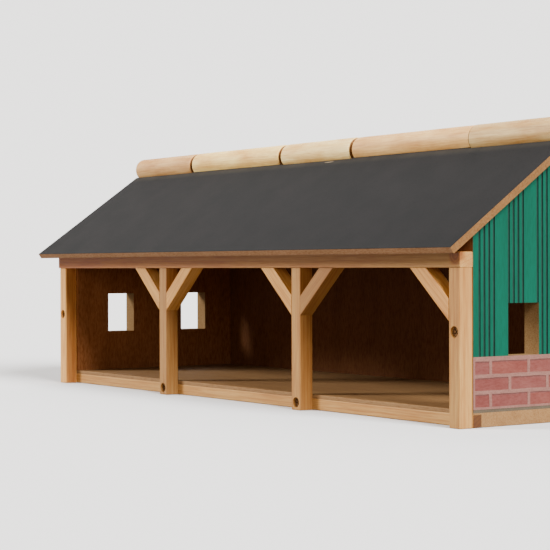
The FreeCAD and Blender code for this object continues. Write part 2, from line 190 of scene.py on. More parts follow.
def turnStock(name, rings, sides):  # rings are heights and radii along Z
    deselect()
    (height, radius), others = rings[0], rings[1:]
    bpy.ops.mesh.primitive_circle_add(
        vertices=sides, radius=radius * mm, fill_type="NGON", location=(0, 0, height * mm)
    )
    piece = settle(name)
    editOn(piece)
    bpy.ops.mesh.select_all(action="SELECT")
    for nextHeight, nextRadius in others:
        rise = (0, 0, (nextHeight - height) * mm)
        bpy.ops.mesh.extrude_region_move(TRANSFORM_OT_translate={"value": rise})
        share = nextRadius / radius
        bpy.ops.transform.resize(value=(share, share, 1), center_override=(0, 0, nextHeight * mm))
        height, radius = nextHeight, nextRadius
    bpy.ops.mesh.select_all(action="SELECT")
    bpy.ops.mesh.normals_make_consistent(inside=False)
    editOff()
    return piece


def paint(piece, materials, choose=None):  # choose gets a face's middle and normal
    piece.data.materials.clear()
    names = list(materials)
    for name in names:
        piece.data.materials.append(materials[name])
    for face in piece.data.polygons:
        face.material_index = names.index(choose(face.center / mm, face.normal)) if choose else 0


def repaint(piece, material, test):  # another of the piece's materials where the test passes
    number = piece.data.materials.find(material.name)
    for face in piece.data.polygons:
        if test(face.center / mm, face.normal):
            face.material_index = number


def setGrain(piece, along, tint):  # millimetres with the grain along Z, shifted for each piece
    turn = Vector(along).to_track_quat("Z", "Y").to_matrix().inverted()
    shift = Vector((dice.uniform(14, 40), dice.uniform(10, 36), dice.uniform(0, 900)))
    grain = piece.data.attributes.new("grain", "FLOAT_VECTOR", "POINT")
    for corner, spot in zip(grain.data, piece.data.vertices):
        corner.vector = turn @ (spot.co / mm) + shift
    shade = piece.data.attributes.new("tint", "FLOAT_COLOR", "POINT")
    for corner in shade.data:
        corner.color = linear(tint)


def tintWhere(piece, tint, test):  # another tone where the test passes
    for corner, mark in zip(piece.data.vertices, piece.data.attributes["tint"].data):
        if test(corner.co / mm):
            mark.color = linear(tint)


def finishPiece(piece, node, body, angle=35):
    activate(piece)
    bpy.ops.object.shade_smooth_by_angle(angle=math.radians(angle))
    tool = piece.modifiers.new("flat faces", "WEIGHTED_NORMAL")
    tool.keep_sharp = True
    bpy.ops.object.modifier_apply(modifier=tool.name)
    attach(piece, body)
    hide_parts(node)


# Material aids

def linear(hexColour):
    shares = [int(hexColour[at:at + 2], 16) / 255 for at in (1, 3, 5)]
    bright = [c / 12.92 if c <= 0.04045 else ((c + 0.055) / 1.055) ** 2.4 for c in shares]
    return (*bright, 1)


def addNode(tree, kind, settings, links):
    made = tree.nodes.new(f"ShaderNode{kind}")
    for key, value in settings.items():
        if key == "stops":  # places and colours of a ramp
            steps = made.color_ramp.elements
            while len(steps) < len(value):
                steps.new(1)
            for step, (at, colour) in zip(steps, value):
                step.position = at
                step.color = linear(colour)
        elif isinstance(key, str) and hasattr(made, key):
            setattr(made, key, value)
        else:
            made.inputs[key].default_value = value
    for key, source in links.items():
        tree.links.new(source, made.inputs[key])
    return made


def newMaterial(name):
    material = bpy.data.materials.new(name)
    material.use_nodes = True
    tree = material.node_tree
    tree.nodes.clear()
    shader = addNode(tree, "BsdfPrincipled", {}, {})
    addNode(tree, "OutputMaterial", {}, {"Surface": shader.outputs[0]})
    return material, tree, shader


def connect(tree, shader, links):
    for key, source in links.items():
        tree.links.new(source, shader.inputs[key])


multiply = {"data_type": "RGBA", "blend_type": "MULTIPLY", 0: 1.0}  # settings of a mix


# Wood, planed or turned and left bare: growth rings cut by the surface show as soft stripes along
# the grain and as arcs on the ends, fibres break them up, and the sheen is faint. The fibres are
# drawn about ten times as coarse as real ones, because those are too fine to show
def makeWood(name, look):
    material, tree, shader = newMaterial(name)
    grain = addNode(tree, "Attribute", {"attribute_name": "grain"}, {}).outputs["Vector"]
    drawn = addNode(tree, "Mapping", {"Scale": (1, 1, look["draw"])}, {"Vector": grain}).outputs[0]
    rings = addNode(tree, "TexWave", {
        "wave_type": "RINGS", "rings_direction": "Z", "wave_profile": "SAW",
        "Scale": math.tau / 20 / look["ring"], "Distortion": look["waver"],
        "Detail": 2.0, "Detail Scale": 1.2, "Detail Roughness": 0.5,
    }, {"Vector": drawn}).outputs["Color"]
    early = addNode(tree, "ValToRGB", {"stops": look["rings"]}, {"Fac": rings}).outputs["Color"]
    fibre = addNode(tree, "TexNoise", {
        "Scale": 1 / look["fibre"], "Detail": 3.0, "Roughness": 0.6,
    }, {"Vector": drawn}).outputs["Fac"]
    streaks = addNode(tree, "ValToRGB", {"stops": look["fibres"]}, {"Fac": fibre}).outputs["Color"]
    spread = addNode(tree, "Mapping", {"Scale": (1, 1, look["mottle"])}, {"Vector": grain}).outputs[0]
    cloud = addNode(tree, "TexNoise", {
        "Scale": 1 / look["cloud"], "Detail": 4.0, "Roughness": 0.6,
    }, {"Vector": spread}).outputs["Fac"]
    shades = addNode(tree, "ValToRGB", {"stops": look["clouds"]}, {"Fac": cloud}).outputs["Color"]
    blend = {**multiply, 0: look["fibreShare"]}
    colour = addNode(tree, "Mix", blend, {6: early, 7: streaks}).outputs[2]
    dull = addNode(tree, "MapRange", {
        "To Min": look["rough"] - 0.07, "To Max": look["rough"] + 0.07,
    }, {"Value": fibre}).outputs[0]
    bump = addNode(tree, "Bump", {
        "Strength": 0.5, "Distance": look["relief"] * mm,
    }, {"Height": fibre}).outputs[0]
    layers = [shades]
    if "knot" in look:
        knot = look["knot"]
        spot = addNode(tree, "TexCoord", {}, {}).outputs["Object"]
        away = addNode(tree, "VectorMath", {
            "operation": "DISTANCE", 1: [value * mm for value in knot["spot"]],
        }, {0: spot}).outputs["Value"]
        share = addNode(tree, "MapRange", {"From Max": knot["size"] * mm}, {"Value": away}).outputs[0]
        rough = addNode(tree, "Math", {
            "operation": "MULTIPLY_ADD", 1: knot["uneven"], 2: knot["shift"],
        }, {0: cloud}).outputs[0]
        uneven = addNode(tree, "Math", {"operation": "ADD"}, {0: share, 1: rough}).outputs[0]
        layers.append(addNode(tree, "ValToRGB", {"stops": knot["rings"]}, {"Fac": uneven}).outputs["Color"])
    layers.append(addNode(tree, "Attribute", {"attribute_name": "tint"}, {}).outputs["Color"])
    for layer in layers:
        colour = addNode(tree, "Mix", multiply, {6: colour, 7: layer}).outputs[2]
    connect(tree, shader, {"Base Color": colour, "Roughness": dull, "Normal": bump})
    shader.inputs["IOR"].default_value = 1.5
    shader.inputs["Specular IOR Level"].default_value = 0.35
    return material


# Coats and boards without a grain: clouds and specks of one colour, with a fine tooth. The specks
# are drawn at about half a millimetre, because real dust and fibre ends are too fine to show
def makeSurface(name, look):
    material, tree, shader = newMaterial(name)
    spot = addNode(tree, "TexCoord", {}, {}).outputs["Object"]
    spread = addNode(tree, "Mapping", {
        "Scale": [1 / mm * share for share in look["stretch"]],
    }, {"Vector": spot}).outputs[0]
    cloud = addNode(tree, "TexNoise", {
        "Scale": 1 / look["cloud"], "Detail": 3.0, "Roughness": 0.55,
    }, {"Vector": spread}).outputs["Fac"]
    tones = list(zip((0.3, 0.7), look["clouds"]))
    base = addNode(tree, "ValToRGB", {"stops": tones}, {"Fac": cloud}).outputs["Color"]
    speck = addNode(tree, "TexNoise", {
        "Scale": 1 / look["speck"], "Detail": 2.0, "Roughness": 0.7,
    }, {"Vector": spread}).outputs["Fac"]
    marks = list(zip(look.get("speckStops", (0.3, 0.6)), (look["specks"], "#FFFFFF")))
    grit = addNode(tree, "ValToRGB", {"stops": marks}, {"Fac": speck}).outputs["Color"]
    colour = addNode(tree, "Mix", multiply, {6: base, 7: grit}).outputs[2]
    dull = addNode(tree, "MapRange", {
        "To Min": look["rough"] - 0.06, "To Max": look["rough"] + 0.06,
    }, {"Value": speck}).outputs[0]
    bump = addNode(tree, "Bump", {
        "Strength": 0.5, "Distance": look["relief"] * mm,
    }, {"Height": speck}).outputs[0]
    if "paleBand" in look:  # paler towards a height
        upward = addNode(tree, "SeparateXYZ", {}, {0: spot}).outputs["Z"]
        share = addNode(tree, "MapRange", {
            "From Min": look["paleBand"]["low"] * mm, "From Max": look["paleBand"]["high"] * mm,
        }, {"Value": upward}).outputs[0]
        paling = addNode(tree, "Math", {"operation": "MULTIPLY"}, {0: share, 1: cloud}).outputs[0]
        colour = addNode(tree, "Mix", {
            "data_type": "RGBA", 7: linear(look["paleBand"]["colour"]),
        }, {0: paling, 6: colour}).outputs[2]
    washes = []
    if "paintedFalloff" in look:  # painted light: another tone towards the right, darker as if less light fell there
        across = addNode(tree, "SeparateXYZ", {}, {0: spot}).outputs["X"]
        share = addNode(tree, "MapRange", {
            "From Min": look["paintedFalloff"]["low"] * mm, "From Max": look["paintedFalloff"]["high"] * mm,
        }, {"Value": across}).outputs[0]
        washes.append((share, look["paintedFalloff"]["tones"]))
    if "tones" in look:  # each brick its own tone
        tone = addNode(tree, "Attribute", {"attribute_name": "tone"}, {}).outputs["Fac"]
        washes.append((tone, look["tones"]))
    for share, stops in washes:
        wash = addNode(tree, "ValToRGB", {"stops": stops}, {"Fac": share}).outputs["Color"]
        colour = addNode(tree, "Mix", multiply, {6: colour, 7: wash}).outputs[2]
    connect(tree, shader, {"Base Color": colour, "Roughness": dull, "Normal": bump})
    shader.inputs["IOR"].default_value = look["ior"]
    shader.inputs["Specular IOR Level"].default_value = look["gloss"]
    return material


# Pine, planed: warm tan with rings 1.7 mm apart, drawn out along the grain
pineLook = {
    "ring": 1.7, "waver": 2.6, "draw": 0.03, "fibre": 0.45, "cloud": 7.0, "mottle": 0.15,
    "relief": 0.05, "rough": 0.55,
    "rings": [(0.0, "#F1BB6D"), (0.55, "#EEB668"), (0.86, "#E2A658"), (1.0, "#EFB86A")],
    "fibres": [(0.3, "#CCB08A"), (0.6, "#FFFFFF")], "fibreShare": 0.7,
    "clouds": [(0.3, "#E6D2BA"), (0.65, "#FFFFFF")],
}
pine = makeWood("pine planed", pineLook)
# The same with a brown knot near the beam's right end
knottyPine = makeWood("pine planed knotty", {**pineLook, "knot": {
    "spot": (156.4, -55.0, 64.6), "size": 4.6, "uneven": 0.35, "shift": -0.17,
    "rings": [(0.0, "#B88A5C"), (0.25, "#C89C6C"), (0.36, "#A87C50"), (0.52, "#DCBC94"), (0.64, "#C09868"),
              (0.85, "#F4E6D2"), (1.0, "#FFFFFF")],
}})
# Pine, sawn across: thirsty end grain, darker than the sides
pineSawn = makeWood("pine sawn end", {
    "ring": 1.4, "waver": 2.0, "draw": 0.03, "fibre": 0.35, "cloud": 6.0, "mottle": 0.1,
    "relief": 0.08, "rough": 0.75,
    "rings": [(0.0, "#754916"), (0.6, "#6F4413"), (0.9, "#5E350D"), (1.0, "#734714")],
    "fibres": [(0.3, "#C8AC8C"), (0.62, "#FFFFFF")], "fibreShare": 0.6,
    "clouds": [(0.3, "#E0CCB4"), (0.7, "#FFFFFF")],
})
# Lime, turned: paler and plainer than the frame, softly mottled
lime = makeWood("lime turned", {
    "ring": 7.0, "waver": 9.0, "draw": 0.05, "fibre": 0.6, "cloud": 6.5, "mottle": 0.3,
    "relief": 0.06, "rough": 0.55,
    "rings": [(0.0, "#FFE8AC"), (0.6, "#FFE6A8"), (0.9, "#F6DA98"), (1.0, "#FFE7AA")],
    "fibres": [(0.3, "#D8C0A0"), (0.6, "#FFFFFF")], "fibreShare": 0.7,
    "clouds": [(0.28, "#DCC4A4"), (0.62, "#FFFFFF")],
})
# Lime, sawn across: darker end grain, browned further as painted shade of the gaps between the logs
limeEndShaded = makeWood("lime sawn end shaded", {
    "ring": 2.0, "waver": 3.0, "draw": 0.025, "fibre": 0.4, "cloud": 8.0, "mottle": 0.1,
    "relief": 0.08, "rough": 0.75,
    "rings": [(0.0, "#865C29"), (0.6, "#7E5423"), (0.9, "#6C461A"), (1.0, "#825827")],
    "fibres": [(0.3, "#D0B89C"), (0.62, "#FFFFFF")], "fibreShare": 0.6,
    "clouds": [(0.3, "#E4D0B8"), (0.7, "#FFFFFF")],
})
# Fibreboard, sawn: even tan edges of the roof with short fibres
sawnLook = {
    "stretch": (1, 1, 1), "cloud": 6.0, "speck": 0.5, "relief": 0.06,
    "rough": 0.75, "ior": 1.45, "gloss": 0.15,
    "clouds": ("#6F502F", "#7A5936"), "specks": "#D8C0A6",
}
roofEdge = makeSurface("fibreboard sawn", sawnLook)
# Fibreboard, sawn: greyer, paler edge along the eaves, painted light standing in for light thrown up from
# below
eaveEdge = makeSurface("fibreboard sawn eave lit", {
    **sawnLook, "stretch": (0.3, 1, 1), "clouds": ("#856445", "#916E4F"),
})
# Fibreboard, sawn by hand: browner edges of the walls
wallEdge = makeSurface("fibreboard hand sawn", {
    **sawnLook, "cloud": 5.0, "relief": 0.08, "rough": 0.8, "clouds": ("#785E3A", "#836742"),
})
# Fibreboard, pressed: the brown bare side of walls and roof
pressedLook = {
    "stretch": (1, 1, 0.2), "cloud": 8.0, "speck": 0.6, "relief": 0.05,
    "rough": 0.7, "ior": 1.45, "gloss": 0.1,
    "clouds": ("#5E381C", "#684023"), "specks": "#D0B8A0",
}
boardBack = makeSurface("fibreboard pressed", pressedLook)
# Fibreboard, pressed: lighter bare side of the gables, painted light inside them and on their front edges
boardInner = makeSurface("fibreboard pressed lit", {
    **pressedLook, "clouds": ("#85522C", "#915C34"),
})
# Fibreboard, torn: pale loose fibres in the chip under the ridge
boardTorn = makeSurface("fibreboard torn", {
    "stretch": (0.3, 1, 1), "cloud": 1.5, "speck": 0.4, "relief": 0.1,
    "rough": 0.85, "ior": 1.45, "gloss": 0.1,
    "clouds": ("#6A6052", "#7F735F"), "specks": "#D8D0C4",
})
# Fibreboard: dull dark strip where the walls meet the floor, painted shade of the joint
footShade = makeSurface("fibreboard shade line", {
    "stretch": (1, 1, 1), "cloud": 5.0, "speck": 0.5, "relief": 0.05, "rough": 0.8, "ior": 1.45, "gloss": 0.2,
    "clouds": ("#52473A", "#594F41"), "specks": "#D8D0C8",
})
# Poplar board, sanded: the pale floor
floorBoard = makeSurface("poplar board sanded", {
    "stretch": (0.15, 1, 1), "cloud": 5.0, "speck": 0.5, "relief": 0.04,
    "rough": 0.65, "ior": 1.5, "gloss": 0.2,
    "clouds": ("#82613D", "#8D6C45"), "specks": "#DCC8B0",
})
# Melamine film, laminated: flat dark grey with a dry, faintly specked tooth
roofCoat = makeSurface("grey film laminated", {
    "stretch": (1, 1, 1), "cloud": 14.0, "speck": 0.8, "relief": 0.02,
    "rough": 0.85, "ior": 1.5, "gloss": 0.06,
    "clouds": ("#242424", "#282727"), "specks": "#D8D8D8", "speckStops": (0.25, 0.5),
    "paleBand": {"low": 106.6, "high": 110.0, "colour": "#4E4940"},  # by the logs
    "paintedFalloff": {"low": -60, "high": 165, "tones": [(0.0, "#FFFFFF"), (1.0, "#EAEAEB")]},  # painted light, darker to the right
})
# Green paint, rolled: satin, with a soft upright streak
greenPaint = makeSurface("green paint rolled", {
    "stretch": (1, 1, 0.15), "cloud": 7.0, "speck": 0.7, "relief": 0.02,
    "rough": 0.7, "ior": 1.5, "gloss": 0.12,
    "clouds": ("#004635", "#004E3C"), "specks": "#DDEBE6",
})
# Dark green paint, brushed into the milled lines: flat and nearly black
linePaint = makeSurface("dark green paint", {
    "stretch": (1, 1, 0.3), "cloud": 4.0, "speck": 0.6, "relief": 0.02,
    "rough": 0.8, "ior": 1.5, "gloss": 0.12,
    "clouds": ("#152D26", "#1A352D"), "specks": "#D8D8D8",
})
# Brick-red print, screened: matte, drawn out sideways, each brick its own tone
printLook = {
    "stretch": (0.35, 0.35, 1), "cloud": 2.2, "speck": 0.6, "relief": 0.04,
    "rough": 0.7, "ior": 1.5, "gloss": 0.15,
}
brickPrint = makeSurface("brick red print", {
    **printLook, "clouds": ("#6C3E3A", "#764944"), "specks": "#ECDCD8",
    "tones": [(0.0, "#F0DCD8"), (0.5, "#FFFFFF"), (1.0, "#FFECE0")],
})
# Brick print's dark upper edge, a shadow line
shadePrint = makeSurface("brick shade print", {
    **printLook, "clouds": ("#5C3834", "#66403D"), "specks": "#E0C8C4",
})
# Mortar print, screened: lilac grey
mortarPrint = makeSurface("mortar print", {
    **printLook, "stretch": (0.5, 0.5, 1), "cloud": 2.5, "speck": 0.5,
    "clouds": ("#78544C", "#835F55"), "specks": "#E4DCDC",
})


# Metals with a soft, cloudy gloss
def makeMetal(name, look):
    material, tree, shader = newMaterial(name)
    spot = addNode(tree, "TexCoord", {}, {}).outputs["Object"]
    cloud = addNode(tree, "TexNoise", {
        "Scale": 1 / (look["cloud"] * mm), "Detail": 3.0,
    }, {"Vector": spot}).outputs["Fac"]
    tones = list(zip((0.3, 0.7), look["clouds"]))
    tone = addNode(tree, "ValToRGB", {"stops": tones}, {"Fac": cloud}).outputs["Color"]
    dull = addNode(tree, "MapRange", {
        "To Min": look["rough"] - 0.1, "To Max": look["rough"] + 0.1,
    }, {"Value": cloud}).outputs[0]
    connect(tree, shader, {"Base Color": tone, "Roughness": dull})
    shader.inputs["Metallic"].default_value = 1.0
    return material


# Steel, zinc plated and dulled: plain grey
zinc = makeMetal("steel zinc plated", {
    "cloud": 0.8, "rough": 0.7, "clouds": ("#40403E", "#50504D"),
})
# Steel, yellow passivated: brownish screws, darkened further as painted shade of heads sunk in their holes
yellowZincShaded = makeMetal("steel yellow zinc plated shaded", {
    "cloud": 0.6, "rough": 0.5, "clouds": ("#543A22", "#684A2E"),
})
print("materials made")


# Frame of square pine stock

stock = {
    "rounds": {"corner": 0.7, "mid": 0.45, "beam": 0.55, "brace": 0.35, "sill": 0.5},  # eased arrises
    "ends": 0.25, "head": 4.4, "shank": 2.3, "holeDepth": 18,  # screw holes
    "deepSink": 1.2, "flushSink": 0.3,  # heads below the surface
}


def sunkCutter(sink):  # hole for a screw along -Z, from a face at Z = 0
    head, shank = stock["head"] / 2, stock["shank"] / 2
    cone = head - shank
    rings = [(overrun, head), (-sink, head), (-sink - cone, shank), (-stock["holeDepth"], shank)]
    return turnStock("cutter", rings, 32)


def squareStock(name, low, high, axis, ease):  # planed stick with eased arrises, along an axis
    piece = addBlock(name, low, high)
    editOn(piece)
    pickEdges(piece, lambda middle, way: abs(way[axis]) > facing)
    roundOff(stock["rounds"][ease], 4)
    pickEdges(piece, lambda middle, way: abs(way[axis]) < 1 - facing and min(
        abs(middle[axis] - low[axis]), abs(middle[axis] - high[axis])) < touch)
    roundOff(stock["ends"], 2)
    editOff()
    return piece


def makePosts():
    tints = {  # fronts and right sides, toned as painted light and shade: lighter where more light falls, darker where the shed shades them
        "left_corner_post": ("#FFFFFF", "#C5AD99"),
        "left_mid_post": ("#B1ABA1", "#BCB6B2"),
        "right_mid_post": ("#BFBCB3", "#B4AA9C"),
        "right_corner_post": ("#BFBCB2", "#BFBCB7"),
    }
    models = {}
    for kind, height in screwPlaces["postHeights"].items():
        low, high = nodeBox(f"left_{kind}_post")
        middle = (low + high) / 2
        models[kind] = squareStock(f"{kind}Post", low, high, 2, kind)
        sunk = sunkCutter(stock["deepSink"])
        cutAway(models[kind], place(sunk, (math.pi / 2, 0, 0), (middle.x, low.y, height)))
        rings = [(overrun, stock["shank"] / 2), (-stock["holeDepth"], stock["shank"] / 2)]
        cutAway(models[kind], place(turnStock("cutter", rings, 32), (0, 0, 0), (middle.x, middle.y, high.z)))
    for side in sideways:
        for kind, model in models.items():
            node = f"{side}_{kind}_post"
            low, high = nodeBox(node)
            shift = low.x - nodeBox(f"left_{kind}_post")[0].x
            piece = place(copyOf(model, f"{side}{kind.title()}Post"), (0, 0, 0), (shift, 0, 0))
            setGrain(piece, (0, 0, 1), tints[node][0])
            # painted light and shade on the right sides
            tintWhere(piece, tints[node][1], lambda corner: corner.x > high.x - touch)
            paint(piece, {"pine": pine})
            finishPiece(piece, node, "shed")
    for model in models.values():
        bpy.data.objects.remove(model, do_unlink=True)


def makeBeam():
    # painted shade: the beam toned darker for the eave's shadow on it, and its right end lighter as painted
    # light
    beam = {"tint": "#B59164", "litEndTint": "#BCBABA"}
    low, high = nodeBox("eave_beam")
    piece = squareStock("eaveBeam", low, high, 0, "beam")
    for across in screwPlaces["posts"]:
        cutter = place(sunkCutter(stock["flushSink"]), (0, 0, 0), (across, (low.y + high.y) / 2, high.z))
        cutAway(piece, cutter)
    setGrain(piece, (1, 0, 0), beam["tint"])
    tintWhere(piece, beam["litEndTint"], lambda corner: corner.x > high.x - stock["ends"] - touch)
    paint(piece, {"pine": knottyPine})
    finishPiece(piece, "eave_beam", "shed")


def makeBraces():
    # the darker tone of one brace is painted shade under it
    brace = {"reach": 22.8, "drop": 20.0, "width": 6.3, "spare": 8.0, "tint": "#E1DFD7",
             "dark": {"right_mid_brace_right": "#A69E8D"}}
    lean = math.atan2(brace["drop"], brace["reach"])
    half = math.hypot(brace["reach"], brace["drop"]) / 2 + brace["spare"]
    inward = brace["width"] / 2
    low, high = nodeBox("left_mid_brace_right")
    middle, deep = (low.y + high.y) / 2, (high.y - low.y) / 2
    model = squareStock("brace", (-half, -deep, -inward), (half, deep, inward), 0, "brace")
    spot = (brace["reach"] / 2 - inward * math.sin(lean), 0, inward * math.cos(lean) - brace["drop"] / 2)
    place(model, (0, -lean, 0), spot)
    editOn(model)
    trimAt((0, 0, 0), (-1, 0, 0))  # against the post
    trimAt((0, 0, 0), (0, 0, 1))  # under the beam
    editOff()
    names = [("left_mid", "left"), ("left_mid", "right"), ("right_mid", "left"), ("right_mid", "right")]
    for post, way in [*names, ("right_corner", "")]:
        node = f"{post}_brace_{way}" if way else f"{post}_brace"
        sign = sideways.get(way, -1)
        low, high = nodeBox(node)
        root = (low.x if sign > 0 else high.x, middle, high.z)
        turn = 0 if sign > 0 else math.pi
        piece = place(copyOf(model, node.title().replace("_", "")), (0, 0, turn), root)
        setGrain(piece, (sign * math.cos(lean), 0, math.sin(lean)), brace["dark"].get(node, brace["tint"]))
        paint(piece, {"pine": pine})
        finishPiece(piece, node, "shed")
    bpy.data.objects.remove(model, do_unlink=True)


makePosts()
makeBeam()
makeBraces()
print("posts, beam and braces made")


# Floor board with its lip, and the sill under it

def makeFloor():
    low, high = nodeBox("floor_board")
    sillLow, sillHigh = nodeBox("front_sill")
    floor = {"shadeBandLow": 5.5, "lipRound": 0.5, "edgeRound": 0.2, "sillTint": "#CFCFCF"}
    piece = addBlock("floorBoard", (low.x, sillHigh.y, low.z), high)
    editOn(piece)
    pickFaces(piece, lambda middle, normal: normal.y < -facing)
    sliceAt((0, 0, sillHigh.z), (0, 0, 1))
    pickFaces(piece, lambda middle, normal: normal.y < -facing and middle.z > sillHigh.z)
    bpy.ops.mesh.extrude_region_move(TRANSFORM_OT_translate={"value": (0, (low.y - sillHigh.y) * mm, 0)})
    pickEdges(piece, lambda middle, way: (
        abs(way.x) > facing and middle.y < low.y + touch and middle.z > high.z - touch))
    roundOff(floor["lipRound"], 4)
    pickEdges(piece, lambda middle, way: max(abs(middle.x) - high.x + touch, middle.y - high.y + touch) > 0)
    roundOff(floor["edgeRound"], 2)
    pickFaces(piece, lambda middle, normal: max(abs(normal.x), normal.y) > facing)
    sliceAt((0, 0, floor["shadeBandLow"]), (0, 0, 1))
    editOff()
    for spot in screwPlaces["floor"]:
        cutAway(piece, place(sunkCutter(stock["flushSink"]), (math.pi, 0, 0), (*spot, 0)))
    # the floor's sides just under the walls take a band of painted shade
    paint(piece, {"board": floorBoard, "shadeBand": footShade}, lambda middle, normal: (
        "shadeBand" if middle.z > floor["shadeBandLow"] and max(abs(normal.x), normal.y) > leaning else "board"))
    finishPiece(piece, "floor_board", "shed")
    sill = squareStock("frontSill", sillLow, sillHigh, 0, "sill")
    setGrain(sill, (1, 0, 0), floor["sillTint"])
    paint(sill, {"pine": pine, "sawn": pineSawn}, lambda middle, normal: (
        "sawn" if abs(normal.x) > facing else "pine"))
    finishPiece(sill, "front_sill", "shed")


makeFloor()
print("floor and sill made")


# Walls: fibreboard with painted boards over a printed brick base

cladding = {
    "linePitch": 2.43, "lineWidth": 1.0, "lineDepth": 0.4, "linesInGroup": 4, "groupPitch": 14.9,
    "firstGroup": 13.35,  # middle of the first group behind the post fronts
    "courses": [(7.6, 12.4), (13.8, 18.5), (19.9, 24.8)], "brickPitch": 19.5, "joint": 1.4,
    "firstJoint": 15.2, "endStrip": 0.9, "brickDepth": 0.12,
    "shadeHigh": 0.5, "shadeDepth": 0.05,  # dark line along the top of each brick
    "shortest": 1.0, "gableGroups": 7, "rearGroups": 21,
    "waveStep": 2.6, "wave": 0.2, "waveSize": (5.0, 4.0), "margin": 0.2,  # hand-drawn waver of the bricks
    "footGap": 0.25, "skin": 0.6,  # depth that counts as painted face
}


def lineSpans(middles):
    spans = []
    for middle in middles:
        for number in range(cladding["linesInGroup"]):
            centre = middle + (number - (cladding["linesInGroup"] - 1) / 2) * cladding["linePitch"]
            spans.append((centre - cladding["lineWidth"] / 2, centre + cladding["lineWidth"] / 2))
    return spans


def brickSpans(start, stop, joint):  # stretches of brick between upright joints
    edges, at = [start], joint - cladding["brickPitch"] * 20  # from well before the wall
    while at < stop:
        if at > start + cladding["joint"]:
            edges += [at - cladding["joint"] / 2, at + cladding["joint"] / 2]
        at += cladding["brickPitch"]
    edges.append(stop)
    return [(a, b) for a, b in zip(edges[::2], edges[1::2]) if b - a > cladding["shortest"]]


# Lines and bricks on a wall's outer face: along is the axis that they follow each other on, groups
# are the middles of the groups of lines, and joint is where an upright joint falls
def cladWall(piece, outward, along, span, groups, joint, back):
    outward = Vector(outward)
    side = Vector((0, 0, 0))
    side[along] = 1
    start, stop = span
    foot, brickTop = shed["floorTop"] + cladding["footGap"], shed["brickTop"]
    facePlane = max(corner.co.dot(outward) / mm for corner in piece.data.vertices)

    def outer(middle, normal):
        return normal.dot(outward) > facing and middle.dot(outward) > facePlane - cladding["skin"]

    def inBricks(middle, normal):
        return outer(middle, normal) and foot < middle.z < brickTop

    def sinkIn(depth):
        bpy.ops.mesh.extrude_region_move(TRANSFORM_OT_translate={"value": outward * -depth * mm})

    editOn(piece)
    for height in (brickTop, foot):
        pickFaces(piece, outer)
        sliceAt((0, 0, height), (0, 0, 1))
    lines = [(a, b) for a, b in lineSpans(groups) if start < a and b < stop]
    for edge in [edge for pair in lines for edge in pair]:
        pickFaces(piece, lambda middle, normal: outer(middle, normal) and middle.z > brickTop)
        sliceAt(side * edge, side)
    pickFaces(piece, lambda middle, normal: outer(middle, normal) and middle.z > brickTop and any(
        a < middle[along] < b for a, b in lines))
    sinkIn(cladding["lineDepth"])
    for low, high in cladding["courses"]:
        for edge in (low, high - cladding["shadeHigh"], high):
            pickFaces(piece, inBricks)
            sliceAt((0, 0, edge), (0, 0, 1))
    bricks = []
    for number, (low, high) in enumerate(cladding["courses"]):
        shift = cladding["brickPitch"] / 2 * (number % 2)
        row = brickSpans(start + cladding["endStrip"], stop - cladding["endStrip"], joint + shift)
        bricks += [(low, high, a, b) for a, b in row]
        for edge in [edge for pair in row for edge in pair]:
            pickFaces(piece, lambda middle, normal: outer(middle, normal) and low < middle.z < high)
            sliceAt(side * edge, side)
    at = start + cladding["waveStep"]
    while at < stop - cladding["endStrip"]:
        pickFaces(piece, inBricks)
        sliceAt(side * at, side)
        at += cladding["waveStep"]

    def brickAt(middle):
        return next((number for number, (low, high, a, b) in enumerate(bricks)
                     if low < middle.z < high and a < middle[along] < b), None)

    def shaded(middle):
        number = brickAt(middle)
        return number is not None and middle.z > bricks[number][1] - cladding["shadeHigh"]

    pickFaces(piece, lambda middle, normal: outer(middle, normal) and brickAt(middle) is not None)
    sinkIn(cladding["brickDepth"])
    pickFaces(piece, lambda middle, normal: outer(middle, normal) and shaded(middle))
    sinkIn(cladding["shadeDepth"])
    editOff()

    tones = [dice.random() for brick in bricks]
    tone = piece.data.attributes.new("tone", "FLOAT", "FACE")
    for face, mark in zip(piece.data.polygons, tone.data):
        number = brickAt(face.center / mm)
        mark.value = tones[number] if number is not None else 0.5

    def choose(middle, normal):
        depth = facePlane - middle.dot(outward)
        if depth > cladding["skin"]:
            return "back" if normal.dot(outward) < -facing else "edge"
        if middle.z > brickTop:
            return "line" if depth > touch else "green"
        # painted shade along the foot of the wall
        if middle.z < foot:
            return "foot"
        if shaded(middle) and outer(middle, normal):
            return "shade"
        return "brick" if brickAt(middle) is not None and outer(middle, normal) else "mortar"

    paint(piece, {
        "green": greenPaint, "line": linePaint, "brick": brickPrint, "shade": shadePrint,
        "mortar": mortarPrint, "edge": wallEdge, "back": back, "foot": footShade,
    }, choose)
    margin = cladding["margin"]
    for corner in piece.data.vertices:  # bricks drawn by hand, not ruled
        spot = corner.co / mm
        if spot.dot(outward) < facePlane - cladding["skin"]:
            continue
        if not (foot + margin < spot.z < brickTop - margin and start + margin < spot[along] < stop - margin):
            continue
        drift = Vector((spot[along] / cladding["waveSize"][0], spot.z / cladding["waveSize"][1], start))
        corner.co.z += noise.noise(drift) * cladding["wave"] * mm
        corner.co[along] += noise.noise(drift + Vector((31, 7, 0))) * cladding["wave"] * mm  # other noise


def trimUnder(half):  # cuts the wall off a little below a roof half
    sign = halves[half]
    drop = (shed["axisRise"] + shed["roofThick"] + shed["seats"][half]) / math.cos(shed["pitch"])
    trimAt((0, 0, shed["ridge"] - drop), (0, sign * math.sin(shed["pitch"]), math.cos(shed["pitch"])))


